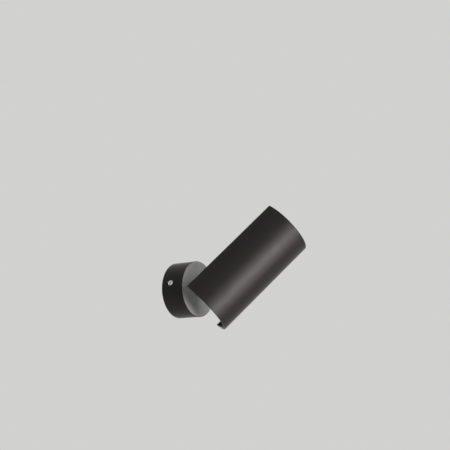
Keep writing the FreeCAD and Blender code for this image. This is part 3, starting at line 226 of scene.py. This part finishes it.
def moulded(name, colour, roughness, grain_mm=0.5, depth_mm=0.008, contrast=0.04, specular=0.45):
    """Moulded plastic or rubber: an even colour with a slight flow and a fine mould texture."""
    finish = Finish(name, roughness=roughness, specular=specular)
    flow = finish.noise(5, detail=2)
    finish.colour(finish.blended(flow, tone(colour, 1 - contrast), tone(colour, 1 + contrast)))
    finish.rough(finish.ranged(flow, roughness - 0.04, roughness + 0.04))
    finish.bump(finish.noise(grain_mm), depth_mm)
    return finish.material


def steatite(name, colour):
    """Unglazed ceramic: chalky, faintly speckled and slightly rough."""
    finish = Finish(name, roughness=0.62, specular=0.35)
    speck = finish.noise(0.45, detail=3, roughness=0.7)
    stain = finish.noise(7, detail=3)
    body = finish.blended(stain, tone(colour, 0.95), tone(colour, 1.03))
    finish.colour(finish.blended(finish.ranged(speck, 1, 0, 0.22, 0.36), body, tone(colour, 0.74)))
    finish.bump(speck, 0.02)
    return finish.material


def cast_aluminium(name, colour):
    """Die-cast and blasted: an even fine grain, a little darker in places."""
    finish = Finish(name, roughness=0.42, metallic=1.0)
    patch = finish.noise(9, detail=3)
    finish.colour(finish.blended(patch, tone(colour, 0.90), colour))
    finish.rough(finish.ranged(patch, 0.38, 0.48))
    finish.bump(finish.noise(0.22, detail=2), 0.012)
    return finish.material


def frosted_lens(name, colour):
    finish = Finish(name, roughness=0.22, specular=0.5)
    finish.shader.inputs["Transmission Weight"].default_value = 0.85
    finish.shader.inputs["IOR"].default_value = 1.49
    haze = finish.noise(4, detail=2)
    finish.colour(finish.blended(haze, tone(colour, 0.98), colour))
    finish.rough(finish.ranged(haze, 0.20, 0.24))
    finish.bump(finish.noise(0.3), 0.002)
    return finish.material


def insulation(name, colour):
    """Slightly glossy wire insulation."""
    return moulded(name, colour, roughness=0.34, grain_mm=0.4, depth_mm=0.004, contrast=0.06)


def striped_insulation(name, colour, stripe):
    """Earth insulation: bands of two colours that show whichever way the lead runs."""
    finish = Finish(name, roughness=0.34, specular=0.45)
    waves = finish.nodes.new("ShaderNodeTexWave")
    waves.wave_type = "BANDS"
    waves.bands_direction = "DIAGONAL"
    waves.inputs["Scale"].default_value = STRIPE_SCALE
    waves.inputs["Distortion"].default_value = 0.6
    finish.links.new(finish.place, waves.inputs["Vector"])
    band = finish.ranged(waves.outputs["Fac"], 0, 1, 0.62, 0.70)
    finish.colour(finish.blended(band, colour, stripe))
    finish.bump(finish.noise(0.4), 0.004)
    return finish.material


def woven_sleeving(name, colour):
    """Braided glass sleeving about the stem's axis: two sets of strands that cross, with painted shade in
    the hollows between them.
    """
    finish = Finish(name, roughness=0.7, specular=0.3)
    parts = finish.nodes.new("ShaderNodeSeparateXYZ")
    finish.links.new(finish.place, parts.inputs[0])
    turn = finish.math("ARCTAN2", parts.outputs["Z"], parts.outputs["X"])
    along = finish.math("MULTIPLY", parts.outputs["Y"], BRAID_PITCH)
    strands = finish.math("MULTIPLY", turn, BRAID_STRANDS)
    one = finish.math("SINE", finish.math("ADD", strands, along))
    other = finish.math("SINE", finish.math("SUBTRACT", strands, along))
    weave = finish.math("MULTIPLY", one, other)
    # Painted shade: the colour is darkest where the weave's bump is lowest, in the hollows between strands.
    finish.colour(finish.blended(finish.ranged(weave, 0, 1, -1, 1), tone(colour, 0.7), tone(colour, 1.15)))
    finish.bump(weave, 0.06)
    return finish.material


def slot_colour(slot):
    for row in frame["record"]["materials"]:
        if row["slot"] == slot:
            return tuple(row["base_color"][:3])
    raise ValueError(slot)


def make_finishes():
    """One finish for each material slot of the record."""
    return {
        "black_paint": powder_coat(
            "satin_black_paint", tone(slot_colour("black_paint"), BLACK_PAINT_LIFT), 0.32, 0.18
        ),
        "disc_paint": powder_coat(
            "pale_grey_paint", tone(slot_colour("disc_paint"), DISC_PAINT_LIFT), 0.62, 0.30,
            grain_mm=0.4, depth_mm=0.010, contrast=0.03
        ),
        "black_steel": black_steel("blackened_steel", slot_colour("black_steel"), 0.38),
        "zinc_steel": plated_steel("zinc_plate", slot_colour("zinc_steel"), 0.36, ZINC_TINT),
        "screw_steel": plated_steel("nickel_plate", slot_colour("screw_steel"), 0.26, NICKEL_TINT),
        "brass": warm_brass("plain_brass", slot_colour("brass")),
        "bush_plastic": moulded("acetal", slot_colour("bush_plastic"), 0.32),
        "grommet_rubber": moulded("soft_rubber", slot_colour("grommet_rubber"), 0.70, 0.3, 0.02, 0.2, 0.3),
        "block_plastic": moulded("block_nylon", slot_colour("block_plastic"), 0.45),
        "ceramic": steatite("steatite", slot_colour("ceramic")),
        "lamp_plastic": moulded("lamp_foot_plastic", slot_colour("lamp_plastic"), 0.36),
        "lamp_aluminium": cast_aluminium("cast_aluminium", slot_colour("lamp_aluminium")),
        "lamp_lens": frosted_lens("frosted_lens", slot_colour("lamp_lens")),
        "led_board": moulded("white_solder_mask", slot_colour("led_board"), 0.40, 0.3, 0.004),
        "led_chip": moulded("yellow_phosphor", slot_colour("led_chip"), 0.55, 0.2, 0.01, 0.08, 0.3),
        "sleeving_fabric": woven_sleeving("braided_sleeving", slot_colour("sleeving_fabric")),
        "lead_brown": insulation("brown_insulation", slot_colour("lead_brown")),
        "lead_blue": insulation("blue_insulation", slot_colour("lead_blue")),
        "lead_earth": striped_insulation("earth_insulation", slot_colour("lead_earth"), EARTH_STRIPE),
    }


def dress_nodes(finishes):
    """Gives every carried-over node the finish of its slot."""
    for row in frame["record"]["subparts"]:
        node = frame["nodes"][row["node"]]
        node.data.materials.clear()
        node.data.materials.append(finishes[row["material_slot"]])


# ---- fine pieces, in millimetres and degrees -------------------------------------------------------

LEAD_R = 0.9
LEAD_SPREAD = 1.15           # each lead's distance from the bundle's centre
LEAD_SIDES = 12
LEAD_CLOCK = 180             # angle of the first lead about the bundle's centre
LEAD_TURN = 120              # and from each to the next
LEAD_REACH = 9.2             # from the tilt axis to each end of the piece
LEAD_MIDDLE = 1.0            # either side of the tilt axis, where its middle point lies
ROUTE_STEPS = 28


def tube(name, centres, radius, sides, finish):
    """A closed round tube along a list of points, its rings turned as little as they can be."""
    rings = []
    ahead = (centres[1] - centres[0]).normalized()
    across = ahead.orthogonal().normalized()
    for number, centre in enumerate(centres):
        before = centres[max(number - 1, 0)]
        after = centres[min(number + 1, len(centres) - 1)]
        ahead = (after - before).normalized()
        across = (across - ahead * across.dot(ahead)).normalized()
        other = ahead.cross(across)
        ring = []
        for side in range(sides):
            angle = math.tau * side / sides
            ring.append(centre + (across * math.cos(angle) + other * math.sin(angle)) * radius)
        rings.append(ring)
    points = [point for ring in rings for point in ring]
    faces = []
    for number in range(len(rings) - 1):
        for side in range(sides):
            here = number * sides + side
            beside = number * sides + (side + 1) % sides
            faces.append((here, beside, beside + sides, here + sides))
    faces.append(tuple(reversed(range(sides))))
    faces.append(tuple(range((len(rings) - 1) * sides, len(rings) * sides)))
    mesh = bpy.data.meshes.new(name)
    mesh.from_pydata(points, [], faces)
    mesh.update()
    mesh.materials.append(finish)
    for face in mesh.polygons:
        face.use_smooth = len(face.vertices) == 4
    piece = bpy.data.objects.new(name, mesh)
    bpy.context.scene.collection.objects.link(piece)
    return piece


def smooth_route(points):
    """A smooth line with these points as its control points, cut into short steps."""
    curve = bpy.data.curves.new("route", "CURVE")
    curve.dimensions = "3D"
    spline = curve.splines.new("NURBS")
    spline.points.add(len(points) - 1)
    for place, point in zip(spline.points, points):
        place.co = (*point, 1)
    spline.order_u = 3
    spline.use_endpoint_u = True
    spline.resolution_u = ROUTE_STEPS
    holder = bpy.data.objects.new("route", curve)
    bpy.context.scene.collection.objects.link(holder)
    line = bpy.data.meshes.new_from_object(holder)
    places = [vertex.co.copy() for vertex in line.vertices]
    bpy.data.objects.remove(holder)
    bpy.data.curves.remove(curve)
    return places


def knuckle_leads(finishes):
    """The three leads where they bend with the knuckle, from the stem's end into the head's nipple."""
    colours = {"earth": "lead_earth", "live": "lead_brown", "neutral": "lead_blue"}
    for number, (wire, slot) in enumerate(colours.items()):
        angle = math.radians(LEAD_CLOCK - LEAD_TURN * number)
        x = LEAD_SPREAD * math.cos(angle)
        y = LEAD_SPREAD * math.sin(angle)
        route = [
            at_swivel(x, y, -LEAD_REACH),
            at_swivel(x, y, -LEAD_REACH / 2),
            (at_swivel(x, y, -LEAD_MIDDLE) + at_head(x, y, LEAD_MIDDLE)) / 2,
            at_head(x, y, LEAD_REACH / 2),
            at_head(x, y, LEAD_REACH),
        ]
        piece = tube(f"knuckle_{wire}_lead", smooth_route(route), LEAD_R * MM, LEAD_SIDES, finishes[slot])
        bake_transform(piece)


# ---- studio ----------------------------------------------------------------------------------------

def make_camera():
    data = bpy.data.cameras.new("camera")
    data.lens = CAMERA_LENS
    data.sensor_width = CAMERA_SENSOR
    data.sensor_fit = "HORIZONTAL"
    data.clip_end = CAMERA_REACH
    camera = bpy.data.objects.new("camera", data)
    bpy.context.scene.collection.objects.link(camera)
    back = -CAMERA_AHEAD.normalized()
    right = CAMERA_UP.cross(back).normalized()
    up = back.cross(right)
    camera.matrix_world = Matrix.Translation(CAMERA_PLACE) @ Matrix((right, up, back)).transposed().to_4x4()
    bpy.context.scene.camera = camera


def when_looked_at(nodes, links):
    """1 for what the eye, a mirror or a glass sees, and 0 for what only lights something."""
    path = nodes.new("ShaderNodeLightPath")
    seen = path.outputs["Is Camera Ray"]
    for ray in ("Is Glossy Ray", "Is Transmission Ray"):
        either = nodes.new("ShaderNodeMath")
        either.operation = "MAXIMUM"
        links.new(seen, either.inputs[0])
        links.new(path.outputs[ray], either.inputs[1])
        seen = either.outputs["Value"]
    return seen


def make_floor():
    """A pale floor: mostly its own plain tone, and partly lit, so that it still takes a shadow."""
    mesh = bpy.data.meshes.new("floor")
    half = FLOOR_SIZE / 2
    corners = [(x * half, y * half, -FLOOR_DROP) for x, y in ((-1, -1), (1, -1), (1, 1), (-1, 1))]
    mesh.from_pydata(corners, [], [(0, 1, 2, 3)])
    finish = Finish("floor", roughness=0.85, specular=0.2)
    cloud = finish.noise(FLOOR_CLOUD_MM, detail=2)
    finish.colour(finish.blended(cloud, tone(FLOOR_COLOUR, 0.98), tone(FLOOR_COLOUR, 1.02)))
    plain = finish.nodes.new("ShaderNodeEmission")
    plain.inputs["Color"].default_value = (*FLOOR_COLOUR, 1)
    share = finish.math("MULTIPLY", when_looked_at(finish.nodes, finish.links), FLOOR_PLAIN_SHARE)
    mix = finish.nodes.new("ShaderNodeMixShader")
    finish.links.new(share, mix.inputs["Fac"])
    finish.links.new(finish.shader.outputs["BSDF"], mix.inputs[1])
    finish.links.new(plain.outputs["Emission"], mix.inputs[2])
    finish.links.new(mix.outputs["Shader"], finish.nodes["Material Output"].inputs["Surface"])
    mesh.materials.append(finish.material)
    floor = bpy.data.objects.new("floor", mesh)
    bpy.context.scene.collection.objects.link(floor)


def make_world():
    """A pale background for the eye, gloss and glass, and a dimmer one that lights matt surfaces."""
    world = bpy.data.worlds.new("studio")
    bpy.context.scene.world = world
    world.use_nodes = True
    nodes = world.node_tree.nodes
    links = world.node_tree.links
    shown = nodes["Background"]
    shown.inputs["Color"].default_value = (*BACKGROUND, 1)
    dim = nodes.new("ShaderNodeBackground")
    dim.inputs["Color"].default_value = (1, 1, 1, 1)
    dim.inputs["Strength"].default_value = WORLD_LIGHT
    mix = nodes.new("ShaderNodeMixShader")
    links.new(when_looked_at(nodes, links), mix.inputs["Fac"])
    links.new(dim.outputs["Background"], mix.inputs[1])
    links.new(shown.outputs["Background"], mix.inputs[2])
    links.new(mix.outputs["Shader"], nodes["World Output"].inputs["Surface"])


def softbox(name, direction, power, colour=(1, 1, 1), distance=LAMP_DISTANCE, size=LAMP_SIZE):
    """A soft square lamp that faces the tilt axis, in the middle of the object."""
    data = bpy.data.lights.new(name, "AREA")
    data.shape = "RECTANGLE"
    data.size = size
    data.size_y = size
    data.energy = power
    data.color = colour
    lamp = bpy.data.objects.new(name, data)
    bpy.context.scene.collection.objects.link(lamp)
    towards = Vector(direction).normalized()
    lamp.location = PIVOT + towards * distance
    lamp.rotation_euler = towards.to_track_quat("Z", "Y").to_euler()
    lamp.visible_camera = False


def seen_from(azimuth, elevation):
    """A direction, in degrees: azimuth 0 is straight out of the wall, 90 to its right."""
    turn, rise = math.radians(azimuth), math.radians(elevation)
    return Vector((math.sin(turn) * math.cos(rise), -math.cos(turn) * math.cos(rise), math.sin(rise)))


def mirrored_by_shade(turn):
    """Direction in which the shade, at a turn about its own axis, mirrors a lamp along the camera's view."""
    along = CAMERA_AHEAD.normalized().dot(HEAD_Z)
    angle = math.radians(turn)
    across = -HEAD_X * math.cos(angle) + HEAD_Y * math.sin(angle)
    return across * math.sqrt(1 - along * along) + HEAD_Z * along


def light_studio():
    """A key strip that the shade mirrors as one long soft band, weaker lamps in front, and one behind."""
    for step in range(-KEY_STEPS, KEY_STEPS + 1):
        place = mirrored_by_shade(step * KEY_HALF_TURN)
        power = KEY_POWER / (1 + step * step)
        softbox(f"key_{step + KEY_STEPS}", place, power, KEY_TINT)
    softbox("low_right", seen_from(45, 0), FILL_POWER, WARM)
    softbox("high_right", seen_from(45, 30), FILL_POWER, COOL)
    softbox("high", seen_from(0, 60), FILL_POWER)
    softbox("high_front", seen_from(0, 30), FILL_POWER / 2)
    softbox("rear", REAR_DIRECTION, REAR_POWER, distance=REAR_DISTANCE, size=REAR_SIZE)


def set_colours():
    bpy.context.scene.view_settings.view_transform = "Standard"


make_camera()
finishes = make_finishes()
dress_nodes(finishes)
knuckle_leads(finishes)
make_floor()
make_world()
light_studio()
set_colours()
